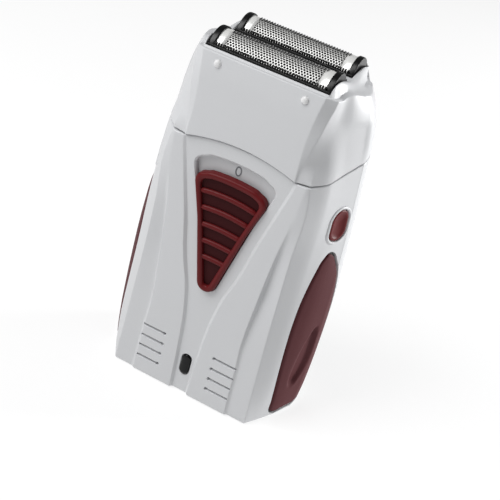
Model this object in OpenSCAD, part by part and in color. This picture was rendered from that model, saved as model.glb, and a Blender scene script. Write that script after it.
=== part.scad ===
// Twin-foil rechargeable shaver.
// Millimetres. +Z runs up the handle to the foils, the switch side faces -Y,
// and the origin is the centre of the flat base.

/* [Housing] */
// Depth of the body from the front face to the back face
body_depth = 37; // [36:0.5:38]
// Wall thickness of the shells
wall = 2; // [1.8:0.1:2.2]
// Height of the seam between body and head, at the front centre
seam_height = 90; // [89.5:0.5:90.5]
// Gap between two shells that part
seam_gap = 0.2; // [0.15:0.05:0.3]

/* [Foils] */
// Distance between the centre lines of the two foils
foil_pitch = 17.6; // [17.4:0.1:17.8]
// Length of each perforated foil
foil_length = 34.6; // [34:0.2:35]
// Outer radius of the foil arch
foil_radius = 6.1; // [6:0.05:6.15]
// Thickness of the foil
foil_thickness = 0.2; // [0.15:0.05:0.2]
// How far a foil sinks when it is pressed
foil_float = 1.5; // [0.5:0.1:1.8]

/* [Drive] */
// Diameter of the motor can
motor_diameter = 21; // [20:0.5:21]
// Eccentric throw, which is half of the cutters' stroke
throw = 1.2; // [0.8:0.1:1.2]
// Number of slots along each cutter block
cutter_slots = 19; // [9:2:21]

/* [Controls] */
// Travel of the power slider
slider_travel = 4; // [2:0.5:4]
// Inward travel of each release button
button_travel = 1.6; // [1:0.1:1.6]
// Radius of the charging plug's bore
plug_radius = 2; // [1.8:0.1:2.2]

/* [Hidden] */
$fn = 48;

half_depth = body_depth / 2;
head_top = 113.5;
base_bevel = 1.4;

grey = [0.74, 0.75, 0.76];
burgundy = [0.34, 0.07, 0.08];
rubber_red = [0.30, 0.14, 0.15];
black = [0.06, 0.06, 0.065];
steel = [0.72, 0.73, 0.74];
white_plastic = [0.88, 0.88, 0.86];

// ---- Outline of the housing, as points whose half width and depth change with height ----
// Depths are measured from the front face. The head starts at seam_height.

function edge_x(z) = lookup(z, [[0, 17.2], [88, 17.2], [head_top, 18.4]]);
function chamfer_x(z) = lookup(z, [[0, 24.2], [15, 23.6], [44, 22.8], [63, 22.5], [80, 22.6], [88, 20.4],
                                   [97, 20.2], [104, 20.6], [head_top, 20.4]]);
function chamfer_d(z) = lookup(z, [[0, 0.6], [80, 0.6], [88, 0.7], [97, 1.6], [104, 3], [head_top, 6]]);
function shoulder_x(z) = lookup(z, [[0, 26.7], [15, 27.5], [30, 27], [50, 26.5], [80, 26], [88, 25.2], [94, 23.7],
                                    [101, 22.6], [107, 21.9], [head_top, 21]]);
function shoulder_d(z) = lookup(z, [[0, 5], [94, 5], [101, 5.5], [head_top, 8]]);
function side_x(z) = lookup(z, [[0, 30], [15, 30.7], [30, 30.7], [48, 30.3], [60, 29.6], [75, 28.7], [87, 27.6],
                                [101, 25.6], [107, 24.6], [head_top, 22.8]]);
function widest_x(z) = lookup(z, [[0, 33], [12, 33.6], [30, 33.7], [45, 33.4], [60, 32.6], [75, 31.5],
                                  [88, 30.3], [98, 29.3], [106, 27.9], [head_top, 25.4]]);
function back_side_x(z) = lookup(z, [[0, 32.6], [12, 33.3], [30, 33.5], [48, 33], [60, 32], [75, 30.8],
                                     [87, 29.6], [97, 28.7], [104, 27.3], [head_top, 24.6]]);
function back_shoulder_x(z) = lookup(z, [[0, 26.6], [60, 26.8], [87, 25.3], [97, 24.3], [head_top, 21]]);
function front_d(z) = lookup(z, [[0, 0], [102, 0], [108, 0.3], [head_top, 1.4]]);
function back_d(z) = body_depth - lookup(z, [[0, 1.6], [20, 0.3], [50, 0], [78, 0.8], [98, 0.3], [head_top, 1]]);

side_d = 11;
back_side_d = 26;

// Outline of the housing at a height, anticlockwise from the front face's right edge
function outline(z, t) =
    let (b = back_d(z),
         half = [[edge_x(z), front_d(z)], [chamfer_x(z), front_d(z) + chamfer_d(z)],
                 [shoulder_x(z), max(shoulder_d(z), front_d(z) + chamfer_d(z) + 1)],
                 [side_x(z), side_d], [widest_x(z), half_depth], [back_side_x(z), back_side_d],
                 [back_shoulder_x(z), b - 4.6], [back_shoulder_x(z) - 2.4, b - 0.9],
                 [back_shoulder_x(z) - 7.4, b]],
         ring = [for (p = half) [p[0], p[1] - half_depth],
                 for (i = [len(half) - 1:-1:0]) [-half[i][0], half[i][1] - half_depth]],
         n = len(ring))
    [for (i = [0:n - 1]) inset_corner(ring[(i + n - 1) % n], ring[i], ring[(i + 1) % n], t)];

function outward(a, b) = let (d = b - a) [d[1], -d[0]] / norm(d);
function inset_corner(a, b, c, t) = let (m = outward(a, b), n = outward(b, c)) b - t * (m + n) / (1 + m * n);

function ring(z, t) = [for (p = outline(z, t)) [p[0], p[1], z]];

// A closed solid through outlines of the housing, each given as its height and its inset
module loft(stations) {
    tube([for (s = stations) each ring(s[0], s[1])], len(outline(0, 0)), len(stations) - 1);
}

stations = [14, 30, 45, 60, 75, 81, 88, 94];

module body_outside() {
    loft([[0, base_bevel], [base_bevel, 0], for (z = stations) [z, 0], [100, 0]]);
}

module body_cavity() {
    loft([[wall, wall], for (z = stations) [z, wall], [101, wall]]);
}

head_stations = [81, 88, 94, 98, 101, 104, 107];
head_roof = 1.8;

// What is left of a shape below a height
module below(z) {
    difference() {
        children();
        translate([-reach, -reach, z]) cube([2 * reach, 2 * reach, 20]);
    }
}

module head_outside() {
    below(head_top) loft([[80, 0], for (z = head_stations) [z, 0], [110, 0], [head_top, 0], [head_top + 2, 0]]);
}

module head_cavity() {
    below(head_top - head_roof) loft([[79, wall], for (z = head_stations) [z, wall], [110, wall], [head_top, wall]]);
}

// ---- Seam between body and head ----

seam_corner_x = 18.2;
seam_corner_drop = 2.8;
seam_radius = (seam_corner_x * seam_corner_x + seam_corner_drop * seam_corner_drop) / (2 * seam_corner_drop);
reach = 50; // longer than any half size of the shaver

// How far the seam has climbed on the sides, from the front to the back
seam_climb = [[-half_depth, 0], [-12, 1.4], [-6, 3], [0, 4.7], [8, 6.4], [half_depth, 7.6]];

module along_x(length) { rotate([90, 0, 90]) linear_extrude(length, center = true) children(); }
module along_y(from, to) { translate([0, to, 0]) rotate([90, 0, 0]) linear_extrude(to - from) children(); }

// Everything under the seam, lifted by dz
module under_seam(dz = 0) {
    translate([0, 0, dz]) {
        along_x(2 * reach)
            polygon([[reach, -20], [-reach, -20], [-reach, seam_height - seam_corner_drop],
                     for (c = seam_climb) [c[0], seam_height - seam_corner_drop + c[1]],
                     [reach, seam_height - seam_corner_drop + 7.6]]);
        along_y(-reach, -8) intersection() {
            translate([0, seam_height - seam_radius]) circle(r = seam_radius, $fn = 96);
            translate([-seam_corner_x, seam_height - 10]) square([2 * seam_corner_x, 20]);
        }
    }
}

module half_space(sign) {
    translate([-reach, sign > 0 ? seam_gap / 2 : -reach, -1]) cube([2 * reach, reach - seam_gap / 2, 130]);
}

// ---- Small shared shapes ----

module slot_2d(width, length) {
    square([width, length - width], center = true);
    for (s = [-1, 1]) translate([0, s * (length - width) / 2]) circle(d = width);
}

module at_foil(side) { translate([0, side * foil_pitch / 2, 0]) children(); }

// A closed solid through rings of points, all with the same number of sides
module tube(points, sides, last) {
    polyhedron(
        points = points,
        faces = [
            [for (k = [0:sides - 1]) k],
            [for (k = [sides - 1:-1:0]) last * sides + k],
            for (i = [0:last - 1]) for (k = [0:sides - 1]) let (j = (k + 1) % sides)
                [i * sides + k, (i + 1) * sides + k, (i + 1) * sides + j],
            for (i = [0:last - 1]) for (k = [0:sides - 1]) let (j = (k + 1) % sides)
                [i * sides + k, (i + 1) * sides + j, i * sides + j]
        ]);
}

// A coil spring along +Z, as one swept wire
module coil(radius, wire, height, turns) {
    steps = 10;
    sides = 5;
    last = steps * turns;
    rings = [for (i = [0:last]) for (k = [0:sides - 1])
        let (a = 360 * i / steps, q = 360 * k / sides, r = radius + wire / 2 * cos(q))
        [r * cos(a), r * sin(a), wire / 2 + (height - wire) * i / last + wire / 2 * sin(q)]];
    tube(rings, sides, last);
}

function unit(v) = v / norm(v);

// A wire through points, swept as one tube with a mitre at each bend
module wire(points, diameter) {
    last = len(points) - 1;
    sides = 8;
    rings = [for (i = [0:last])
        let (along = unit(points[min(i + 1, last)] - points[max(i - 1, 0)]),
             across = unit(cross(along, [1, 0.2, 0.1])), over = cross(along, across))
        for (k = [0:sides - 1]) let (q = 360 * k / sides)
            points[i] + diameter / 2 * (cos(q) * across + sin(q) * over)];
    tube(rings, sides, last);
}

// ---- Front face features ----

groove_z = [6.9, 11.1, 15.2, 19.4];
groove_in = 8.9;
groove_out = 16.9;
groove_width = 0.9;
groove_depth = 0.8;

panel_depth = 0.5; // how far the V-shaped centre panel lies below the front face
light_z = 11.4;
light_width = 3;
light_length = 7.6;
switch_top = 83.4; // top corners of the switch pocket
switch_half = 11.8;
switch_tip_z = 44.4;
switch_tip_r = 3.3;
switch_corner_r = 2;
switch_arch_r = 52;
pocket_floor = -half_depth + 1.9;

// The rounded triangle of the switch pocket, grown by g and with its top lowered by drop
module switch_outline(g = 0, drop = 0) {
    top = switch_top - drop;
    lean = (switch_half - switch_tip_r) / (switch_top - switch_tip_z);
    half = switch_half - lean * drop + g;
    r = switch_corner_r;
    tip = switch_tip_r + g;
    intersection() {
        union() {
            polygon([[-half, top - r], [half, top - r], [half - 0.3, top + 4], [-half + 0.3, top + 4]]);
            polygon([[-half, top - r], [-tip, switch_tip_z], [tip, switch_tip_z], [half, top - r]]);
            translate([0, switch_tip_z]) circle(r = tip);
        }
        translate([0, top + g + 1.4 - switch_arch_r]) circle(r = switch_arch_r, $fn = 128);
    }
}

function panel_x(z) = lookup(z, [[0, 2.3], [16, 3], [32, 4.3], [41, 5.9], [62, 11], [87.2, 17.1]]);

module centre_panel_2d() {
    zs = [-1, 16, 32, 41, 62, 87.2];
    polygon([for (z = zs) [panel_x(z), z], [17.1, 91], [-17.1, 91],
             for (i = [len(zs) - 1:-1:0]) [-panel_x(zs[i]), zs[i]]]);
}

button_y = -4.8;
button_z = 73.3;
button_width = 7.2;
button_length = 10.4;

module button_outline(g = 0) {
    translate([button_y, button_z]) slot_2d(button_width + 2 * g, button_length + 2 * g);
}

// Outline of a side grip in the plane across X: a teardrop with a flat foot
grip_foot = 2.4;
grip_outline = [[4.4, grip_foot], [-9, grip_foot], [-11, 16], [-11.6, 29], [-11.5, 40], [-10.6, 50],
                [-8.8, 58], [-7.1, 62.4], [-5.6, 64.3], [-3.7, 63.6], [-1.4, 60.4],
                [1.9, 52], [4, 41], [5, 30], [5.2, 14]];
grip_depth = 1.5;
grip_proud = 0.25;

module grip_block(g = 0) {
    along_x(2 * reach) offset(delta = g) polygon(grip_outline);
}

// The skin of the body between two insets, cut to the grip's outline
module grip_solid(side, g, inset) {
    intersection() {
        difference() {
            loft([[1, -grip_proud], for (z = stations) [z, -grip_proud]]);
            loft([[0.5, inset], for (z = stations) [z, inset], [95, inset]]);
        }
        grip_block(g);
        translate([side > 0 ? 0 : -reach, -reach, 0]) cube([reach, 2 * reach, 100]);
    }
}

shell_bosses = [[-20, 15], [20, 15], [-20, 62], [20, 62]];
boss_radius = 3;
screw_radius = 1;

// ---- Shells ----

module shell_half(sign) {
    intersection() {
        difference() {
            body_outside();
            body_cavity();
        }
        under_seam();
        half_space(sign);
    }
}

inlet_y = 2;
inlet_nose_r = 4;

module inlet_hole() { translate([0, inlet_y, -1]) cylinder(r = inlet_nose_r + 0.15, h = wall + 3); }

module grip_pockets() {
    for (s = [-1, 1]) grip_solid(s, 0.12, grip_depth);
}

module button_holes() {
    for (s = [-1, 1]) translate([s * 30, 0, 0]) along_x(14) button_outline(0.2);
}

module front_shell() {
    color(grey) difference() {
        union() {
            difference() {
                shell_half(-1);
                along_y(-reach, -half_depth + panel_depth) centre_panel_2d();
            }
            along_y(pocket_floor - 0.4, pocket_floor + 1.2) switch_outline(2);
            for (b = shell_bosses) difference() {
                along_y(-half_depth + 1, -0.3) translate(b) circle(r = boss_radius);
                along_y(-half_depth + 4, 1) translate(b) circle(r = screw_radius);
            }
        }
        along_y(-reach, pocket_floor) switch_outline();
        translate([0, 0, 62.5]) cube([4.4, body_depth, 6 + slider_travel], center = true);
        along_y(-reach, -half_depth + wall + 1) translate([0, light_z]) slot_2d(light_width, light_length);
        for (z = groove_z) for (s = [-1, 1])
            along_y(-reach, -half_depth + groove_depth)
                translate([s * (groove_in + groove_out) / 2, z]) rotate(90)
                    slot_2d(groove_width, groove_out - groove_in);
        grip_pockets();
        button_holes();
        inlet_hole();
    }
}

module back_shell() {
    color(grey) difference() {
        union() {
            shell_half(1);
            for (b = shell_bosses) along_y(0.1, half_depth - 1) translate(b) circle(r = boss_radius);
        }
        for (b = shell_bosses) {
            along_y(-1, half_depth) translate(b) circle(r = screw_radius + 0.25);
            along_y(half_depth - 4.5, half_depth + 2) translate(b) circle(r = 2.3);
        }
        grip_pockets();
        inlet_hole();
    }
}

module side_grip(side) { color(rubber_red) grip_solid(side, 0, grip_depth - 0.1); }

screw_seat = half_depth - 4.5;
module shell_screws() {
    color(steel) for (b = shell_bosses) difference() {
        union() {
            along_y(-6, screw_seat) translate(b) circle(r = screw_radius - 0.05);
            along_y(screw_seat + 0.05, screw_seat + 1.5) translate(b) circle(r = 1.9);
            along_y(screw_seat - 0.5, screw_seat + 0.5) translate(b) circle(r = screw_radius - 0.05);
        }
        for (q = [0, 90]) translate([b[0], screw_seat + 1.5, b[1]]) rotate([0, q, 0])
            cube([2.2, 1.4, 0.5], center = true);
    }
}

module charge_light_lens() {
    color(black) {
        along_y(-half_depth + 0.7, -half_depth + wall + 0.15)
            translate([0, light_z]) slot_2d(light_width - 0.15, light_length - 0.15);
        along_y(-half_depth + wall + 0.1, -half_depth + wall + 1)
            translate([0, light_z]) slot_2d(light_width + 2, light_length + 2);
    }
}

module charge_inlet() {
    color(black) difference() {
        union() {
            translate([0, inlet_y, 0.4]) cylinder(r = inlet_nose_r, h = 4);
            translate([-5, inlet_y - 4.8, 3.2]) cube([10, 9.6, 9.2]);
        }
        translate([0, inlet_y, -1]) cylinder(r = plug_radius, h = 11.4);
        translate([0, inlet_y, 10.3]) cylinder(r = 1, h = 3);
    }
}

module inlet_contacts() {
    color("gold") {
        translate([0, inlet_y, 10.6]) cylinder(r = 0.95, h = 3.4);
        for (s = [-1, 1]) translate([s * 3 - 0.4, inlet_y - 0.6, 12.45]) cube([0.8, 1.2, 2]);
    }
}

// ---- Chassis, motor and electrics ----

motor_low = 45;
motor_top = 72;
motor_r = motor_diameter / 2;
plate_top = 74.2;
battery_z = 30;
battery_y = 1;
battery_r = 7.1;
battery_half = 24;
rail_x = 12.4;

module chassis() {
    color(white_plastic) difference() {
        union() {
            translate([-17, -10.2, motor_top]) cube([34, 20.4, plate_top - motor_top]);
            for (s = [-1, 1]) {
                translate([s > 0 ? rail_x : -rail_x - 2.6, -6, 38.5]) cube([2.6, 12, motor_top - 38.4]);
                translate([s > 0 ? 15.2 : -17, -10.2, motor_top]) cube([1.8, 6.6, 6.2]);
                translate([s * 17 - 3, -4.5, 20.5]) cube([6, 12, 18.2]);
            }
            translate([-20, -6, 38.5]) cube([40, 13, 1.8]);
        }
        translate([0, 0, motor_top - 1]) cylinder(r = 3.7, h = 6);
        for (s = [-1, 1]) translate([s * 7, 0, motor_top - 1]) cylinder(r = 0.85, h = 6);
        translate([0, battery_y, battery_z]) rotate([0, 90, 0]) cylinder(r = battery_r + 0.1, h = 60, center = true);
        translate([0, 0, 30]) cylinder(r = 4, h = 12);
    }
}

module motor_can() {
    color(steel) difference() {
        union() {
            translate([0, 0, motor_low + 4]) cylinder(r = motor_r, h = motor_top - motor_low - 4.05);
            translate([0, 0, motor_top - 0.1]) cylinder(r = 3.5, h = 1.3);
        }
        translate([0, 0, motor_low + 3]) cylinder(r = motor_r - 0.8, h = motor_top - motor_low - 4.2);
        translate([0, 0, motor_top - 2]) cylinder(r = 1.1, h = 6);
        for (s = [-1, 1]) translate([s * 7, 0, motor_top - 2]) cylinder(r = 0.8, h = 6);
    }
}

module motor_end_cap() {
    color(black) difference() {
        union() {
            translate([0, 0, motor_low]) cylinder(r = motor_r - 0.05, h = 3.95);
            translate([0, 0, motor_low + 3.9]) cylinder(r = motor_r - 0.9, h = 2);
        }
        translate([0, 0, motor_low + 1.5]) cylinder(r = 1.1, h = 6);
    }
}

module motor_screws() {
    color(steel) for (s = [-1, 1]) translate([s * 7, 0, 0]) {
        translate([0, 0, motor_top - 1.3]) cylinder(r = 0.78, h = plate_top - motor_top + 1.4);
        translate([0, 0, plate_top + 0.02]) cylinder(r = 1.6, h = 0.8);
    }
}

module battery_cell() {
    color([0.2, 0.4, 0.55]) translate([0, battery_y, battery_z]) rotate([0, 90, 0]) {
        cylinder(r = battery_r, h = 2 * battery_half, center = true);
        cylinder(r = 2.6, h = 2 * battery_half + 1.2, center = true);
    }
}

module battery_tabs() {
    color("silver") for (s = [-1, 1])
        translate([s * (battery_half + 0.85), battery_y - 2, battery_z - 3]) {
            translate([-0.15, 0, 0]) cube([0.3, 4, 6]);
            translate([-0.15, -6, 1.6]) cube([0.3, 6.1, 2.8]);
        }
}

board_front = -12.4;
board_thick = 1.4;
board_half = 11.6;

module circuit_board() {
    color([0.1, 0.35, 0.2]) difference() {
        along_y(board_front, board_front + board_thick)
            translate([-board_half, 5]) square([2 * board_half, 64]);
        for (z = [24, 52]) along_y(-20, 0) translate([8.6, z]) circle(r = 1.1);
    }
    color(black) {
        translate([-6, board_front - 0.9, 24]) cube([5, 1, 5]);
        translate([2, board_front - 1.1, 38]) cube([4, 1.2, 4]);
        translate([-8, board_front - 1.6, 44]) cube([3.4, 1.7, 3.4]);
    }
}

switch_z = 60.5;
module switch_body() {
    color("silver") difference() {
        translate([-4.3, board_front - 1.7, switch_z - 2]) cube([8.6, 1.68, 5 + slider_travel]);
        translate([-1.3, board_front - 2, switch_z - 1.2]) cube([2.6, 1.6, 3 + slider_travel]);
    }
}

module switch_knob() {
    color(black) translate([-1, -15.1, switch_z - 0.7]) cube([2, 1.8, 2]);
}

module charge_led() {
    color([0.9, 0.95, 0.9]) translate([0, board_front - 0.02, light_z]) rotate([90, 0, 0]) {
        cylinder(r = 1.2, h = 1.4);
        translate([0, 0, 1.4]) cylinder(r1 = 1.2, r2 = 0.5, h = 0.7);
    }
}

module battery_leads() {
    color("red") for (s = [-1, 1])
        wire([[s * 24.2, -7.2, 29.6], [s * 23.4, -10, 27], [s * 15, -10.1, 22], [s * 9, -10.3, 20]], 1);
}

module motor_leads() {
    color("black") for (s = [-1, 1])
        wire([[s * 5, -2.5, motor_low - 0.7], [s * 6, -6, 42], [s * 7, -9.6, 42], [s * 7, -10.2, 45]], 1);
}

// ---- Deck that closes the top of the body ----

deck_low = 84;
deck_thick = 2;
post_r = 2;
seal_r = 4.6;

module deck_plate() {
    color(grey) difference() {
        translate([0, 0, deck_low]) linear_extrude(deck_thick)
            polygon(outline(deck_low + 1, wall + 0.15));
        for (s = [-1, 1]) {
            at_foil(s) translate([0, 0, deck_low - 1]) cylinder(r = seal_r + 0.05, h = 5);
            translate([s * (latch_x - button_travel - 0.2 + 7), latch_y, deck_low + 1.5]) cube([14, 5.6, 5], center = true);
        }
        translate([-16, -half_depth, deck_low - 1]) cube([32, 3.5, 5]);
    }
}

module post_seals() {
    color([0.15, 0.15, 0.16]) for (s = [-1, 1]) at_foil(s) difference() {
        union() {
            translate([0, 0, deck_low]) cylinder(r = seal_r, h = deck_thick);
            translate([0, 0, deck_low + deck_thick - 0.05]) cylinder(r1 = seal_r - 0.2, r2 = 3.9, h = 1.6);
        }
        translate([0, 0, deck_low - 1]) cylinder(r = post_r + throw + 0.25, h = 6);
    }
}

// ---- Power slider ----

slider_thick = 1.7;
rib_z = [52, 57.2, 62.3, 67.5, 72.6];
rib_arch_r = 44;

module power_slider() {
    floor_y = pocket_floor - 0.1;
    face_y = floor_y - slider_thick;
    color(burgundy) {
        difference() {
            along_y(face_y - 0.6, floor_y) switch_outline(-0.15, slider_travel + 0.5);
            along_y(face_y - 2, face_y + 0.5) switch_outline(-1.7, slider_travel + 0.5);
        }
        for (z = rib_z) intersection() {
            along_y(face_y - 0.3, face_y + 0.6) difference() {
                translate([0, z + 1.6 - rib_arch_r]) circle(r = rib_arch_r + 0.5, $fn = 128);
                translate([0, z + 1.6 - rib_arch_r]) circle(r = rib_arch_r - 0.5, $fn = 128);
            }
            along_y(face_y - 1, floor_y) switch_outline(-1.5, slider_travel + 0.5);
        }
        translate([-1.9, floor_y - 0.2, 58.2]) cube([3.8, 1.65, 5]);
    }
}

module slider_carriage() {
    color(white_plastic) difference() {
        translate([-5.5, -15.25, 56]) cube([11, 0.9, 9.4]);
        translate([-1.05, -17, switch_z - 0.75]) cube([2.1, 4, 2.1]);
    }
}

// ---- Head release ----

flange_x = 22.6;
latch_x = 20.9;
latch_y = -6.5;
hook_z = 87.6;
tab_in = 23.3;
tab_thick = 1.2;

module release_button(side) {
    color(burgundy) mirror([side > 0 ? 0 : 1, 0, 0]) {
        intersection() {
            translate([flange_x + 5, 0, 0]) along_x(10) button_outline();
            loft([[60, -0.5], [75, -0.5], [81, -0.5], [88, -0.5]]);
        }
        translate([flange_x + 0.6, 0, 0]) along_x(1.2) button_outline(0.9);
        translate([latch_x, latch_y - 1.5, 77]) cube([flange_x + 0.1 - latch_x, 3, 3]);
        translate([latch_x, latch_y - 1.5, 77]) cube([1.5, 3, hook_z + 1.9 - 77]);
        translate([latch_x + 1, latch_y - 1.5, hook_z]) cube([tab_in - 0.1 - latch_x - 1, 3, 1.9]);
    }
}

module release_spring(side) {
    seat = 17.1;
    color(steel) mirror([side > 0 ? 0 : 1, 0, 0])
        translate([seat, button_y, button_z]) rotate([0, 90, 0]) coil(1.9, 0.5, flange_x - 0.2 - seat, 5);
}

// ---- Drive ----

arm_low = [75.3, 78.2]; // front and rear arm
arm_thick = 2;
arm_half_x = 6.6;
cam_r = 2.2;
cam_slot_x = cam_r + 2 * throw + 0.3;
cam_slot_y = cam_r + throw + 0.3;

module motor_shaft() {
    color(steel) {
        translate([0, 0, motor_low + 1.6]) cylinder(r = 1, h = 81.2 - motor_low - 1.6);
        translate([0, 0, motor_low + 6.5]) cylinder(r = motor_r - 2.2, h = 16);
    }
}

module eccentric_cam() {
    color(white_plastic) difference() {
        union() {
            translate([throw, 0, arm_low[0] - 0.2]) cylinder(r = cam_r, h = arm_thick + 0.4);
            translate([0, 0, arm_low[0] + arm_thick + 0.15]) cylinder(r = 3.3, h = 0.6);
            translate([-throw, 0, arm_low[1] - 0.2]) cylinder(r = cam_r, h = arm_thick + 0.4);
        }
        translate([0, 0, 70]) cylinder(r = 1.02, h = 20);
    }
}

// side -1 is the front arm and +1 the rear one
post_top = 101;
collar_z = 90;
module drive_arm(side) {
    low = side < 0 ? arm_low[0] : arm_low[1];
    far = foil_pitch / 2 + 2.6;
    near = cam_slot_y + 1.4;
    color(white_plastic) {
        difference() {
            translate([-arm_half_x, side < 0 ? -far : -near, low])
                cube([2 * arm_half_x, far + near, arm_thick]);
            translate([-cam_slot_x, -cam_slot_y, low - 1]) cube([2 * cam_slot_x, 2 * cam_slot_y, 5]);
        }
        at_foil(side) {
            translate([0, 0, low + arm_thick - 0.1]) cylinder(r = post_r, h = post_top - low - arm_thick + 0.1);
            translate([0, 0, collar_z - 1.2]) cylinder(r = 3.6, h = 1.2);
        }
    }
}

carrier_low = 97.2;
carrier_top = 107.9;
module cutter_spring(side) {
    color(steel) at_foil(side)
        translate([0, 0, collar_z + 0.02]) coil(3, 0.6, carrier_low - collar_z - 0.04, 4);
}

foil_axis_z = 110.9;
cutter_r = foil_radius - foil_thickness - 0.15;
cutter_half = foil_length / 2 - throw - 0.2;

module cutter_carrier(side) {
    color(black) at_foil(side) difference() {
        union() {
            translate([0, 0, carrier_low]) cylinder(r = 3.8, h = 6.4);
            translate([-cutter_half + 1, -3.4, 103.4]) cube([2 * cutter_half - 2, 6.8, carrier_top - 103.4]);
        }
        translate([0, 0, carrier_low - 1]) cylinder(r = post_r + 0.05, h = post_top - carrier_low + foil_float + 1.3);
    }
}

module cutter_blades(side) {
    pitch = (2 * cutter_half - 1.6) / cutter_slots;
    color(steel) at_foil(side) difference() {
        translate([0, 0, foil_axis_z]) rotate([0, 90, 0]) cylinder(r = cutter_r, h = 2 * cutter_half, center = true);
        translate([-reach, -reach, foil_axis_z - 10]) cube([2 * reach, 2 * reach, 10 - 2.9]);
        for (i = [0:cutter_slots - 1])
            translate([-cutter_half + 0.8 + (i + 0.5) * pitch - 0.5, -10, foil_axis_z - 1.6]) cube([1, 20, 20]);
    }
}

// ---- Head ----

frame_half_x = 18.4;
frame_half_y = 6.9;
hump_r = 5;
hump_z = 110.8;
peg_x = 13.1;
peg_z = 110.4;

// A box centred on each foil
module foil_boxes(half_x, half_y, low, high) {
    for (s = [-1, 1]) at_foil(s)
        translate([-half_x, -half_y, low]) cube([2 * half_x, 2 * half_y, high - low]);
}

module head_housing() {
    color(grey) {
        difference() {
            union() {
                difference() {
                    head_outside();
                    head_cavity();
                    under_seam(seam_gap);
                }
                for (e = [-1, 1]) for (s = [-1, 1]) at_foil(s)
                    translate([e * 19.15, 0, hump_z]) rotate([0, 90, 0]) cylinder(r = hump_r, h = 1.9, center = true);
            }
            foil_boxes(frame_half_x + 0.25, frame_half_y + 0.25, 100, 130);
            foil_boxes(frame_half_x + frame_flange + 0.25, flange_half_y + 0.25, 100, frame_low + flange_thick + 0.3);
        }
        for (e = [0, 1]) mirror([e, 0, 0]) translate([tab_in, latch_y - 2.5, 85.2]) difference() {
            union() {
                cube([tab_thick, 5, 10.4]);
                translate([0, 0, 6.6]) cube([2 * tab_thick, 5, 3.8]);
            }
            translate([-1, 0.6, 2.2]) cube([4, 3.8, 2.4]);
        }
        for (e = [-1, 1]) {
            translate([e * peg_x, front_d(peg_z) - half_depth + 0.3, peg_z]) rotate([90, 0, 0]) cylinder(r1 = 1.1, r2 = 0.7, h = 0.95);
            translate([e * peg_x, back_d(peg_z) - half_depth - 0.3, peg_z]) rotate([-90, 0, 0]) cylinder(r1 = 1.1, r2 = 0.7, h = 0.95);
        }
    }
}

retainer_low = 104.3;
retainer_thick = 1.4;
module foil_retainer() {
    color(black) difference() {
        translate([0, 0, retainer_low]) linear_extrude(retainer_thick)
            polygon(outline(retainer_low + retainer_thick, wall + 0.15));
        for (s = [-1, 1]) at_foil(s)
            translate([-17.4, -6.4, retainer_low - 1]) cube([34.8, 12.8, 5]);
    }
}

frame_low = 108.2;
frame_top = 113.7;
frame_flange = 0.6;
flange_half_y = 4.6;
flange_thick = 1.2;
cap_r = 6.6;
module foil_frame(side) {
    flange_x = frame_half_x + frame_flange;
    color(black) at_foil(side) {
        difference() {
            union() {
                translate([-frame_half_x, -frame_half_y, frame_low]) cube([2 * frame_half_x, 2 * frame_half_y, frame_top - frame_low]);
                translate([-flange_x, -flange_half_y, frame_low]) cube([2 * flange_x, 2 * flange_half_y, flange_thick]);
            }
            translate([-foil_length / 2, -foil_radius - 0.02, frame_low - 1])
                cube([foil_length, 2 * foil_radius + 0.04, 10]);
        }
        for (e = [-1, 1]) intersection() {
            translate([e * (frame_half_x + foil_length / 2) / 2, 0, foil_axis_z]) rotate([0, 90, 0])
                cylinder(r = cap_r, h = frame_half_x - foil_length / 2, center = true);
            translate([-reach, -frame_half_y, frame_low]) cube([2 * reach, 2 * frame_half_y, 20]);
        }
    }
}

module foil_mesh(side) {
    half = foil_length / 2 - 0.03;
    color(steel) at_foil(side) difference() {
        union() {
            translate([0, 0, foil_axis_z]) rotate([0, 90, 0]) cylinder(r = foil_radius, h = 2 * half, center = true);
            translate([-half, -foil_radius, frame_low + 0.6]) cube([2 * half, 2 * foil_radius, foil_axis_z - frame_low - 0.6]);
        }
        rotate([0, 90, 0]) translate([-foil_axis_z, 0, 0])
            cylinder(r = foil_radius - foil_thickness, h = 60, center = true);
        translate([-reach, -foil_radius + foil_thickness, 100]) cube([2 * reach, 2 * (foil_radius - foil_thickness), foil_axis_z - 100]);
        translate([-reach, -reach, 100]) cube([2 * reach, 2 * reach, frame_low + 0.6 - 100]);
    }
}

front_shell();
back_shell();
side_grip(-1);  // side_grip_left
side_grip(1);  // side_grip_right
charge_light_lens();
charge_inlet();
inlet_contacts();
shell_screws();
chassis();
motor_can();
motor_end_cap();
motor_screws();
battery_cell();
battery_tabs();
battery_leads();
motor_leads();
circuit_board();
switch_body();
charge_led();
deck_plate();
post_seals();
release_spring(-1);  // release_spring_left
release_spring(1);  // release_spring_right
power_slider();
slider_carriage();
switch_knob();
release_button(-1);  // release_button_left
release_button(1);  // release_button_right
motor_shaft();
eccentric_cam();
drive_arm(-1);  // front_drive_arm
drive_arm(1);  // rear_drive_arm
cutter_spring(-1);  // front_cutter_spring
cutter_spring(1);  // rear_cutter_spring
cutter_carrier(-1);  // front_cutter_carrier
cutter_carrier(1);  // rear_cutter_carrier
cutter_blades(-1);  // front_cutter_blades
cutter_blades(1);  // rear_cutter_blades
head_housing();
foil_retainer();
foil_frame(-1);  // front_foil_frame
foil_frame(1);  // rear_foil_frame
foil_mesh(-1);  // front_foil_mesh
foil_mesh(1);  // rear_foil_mesh
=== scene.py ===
import math

import bmesh
import bpy
import numpy as np
from mathutils import Matrix, Vector


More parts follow.
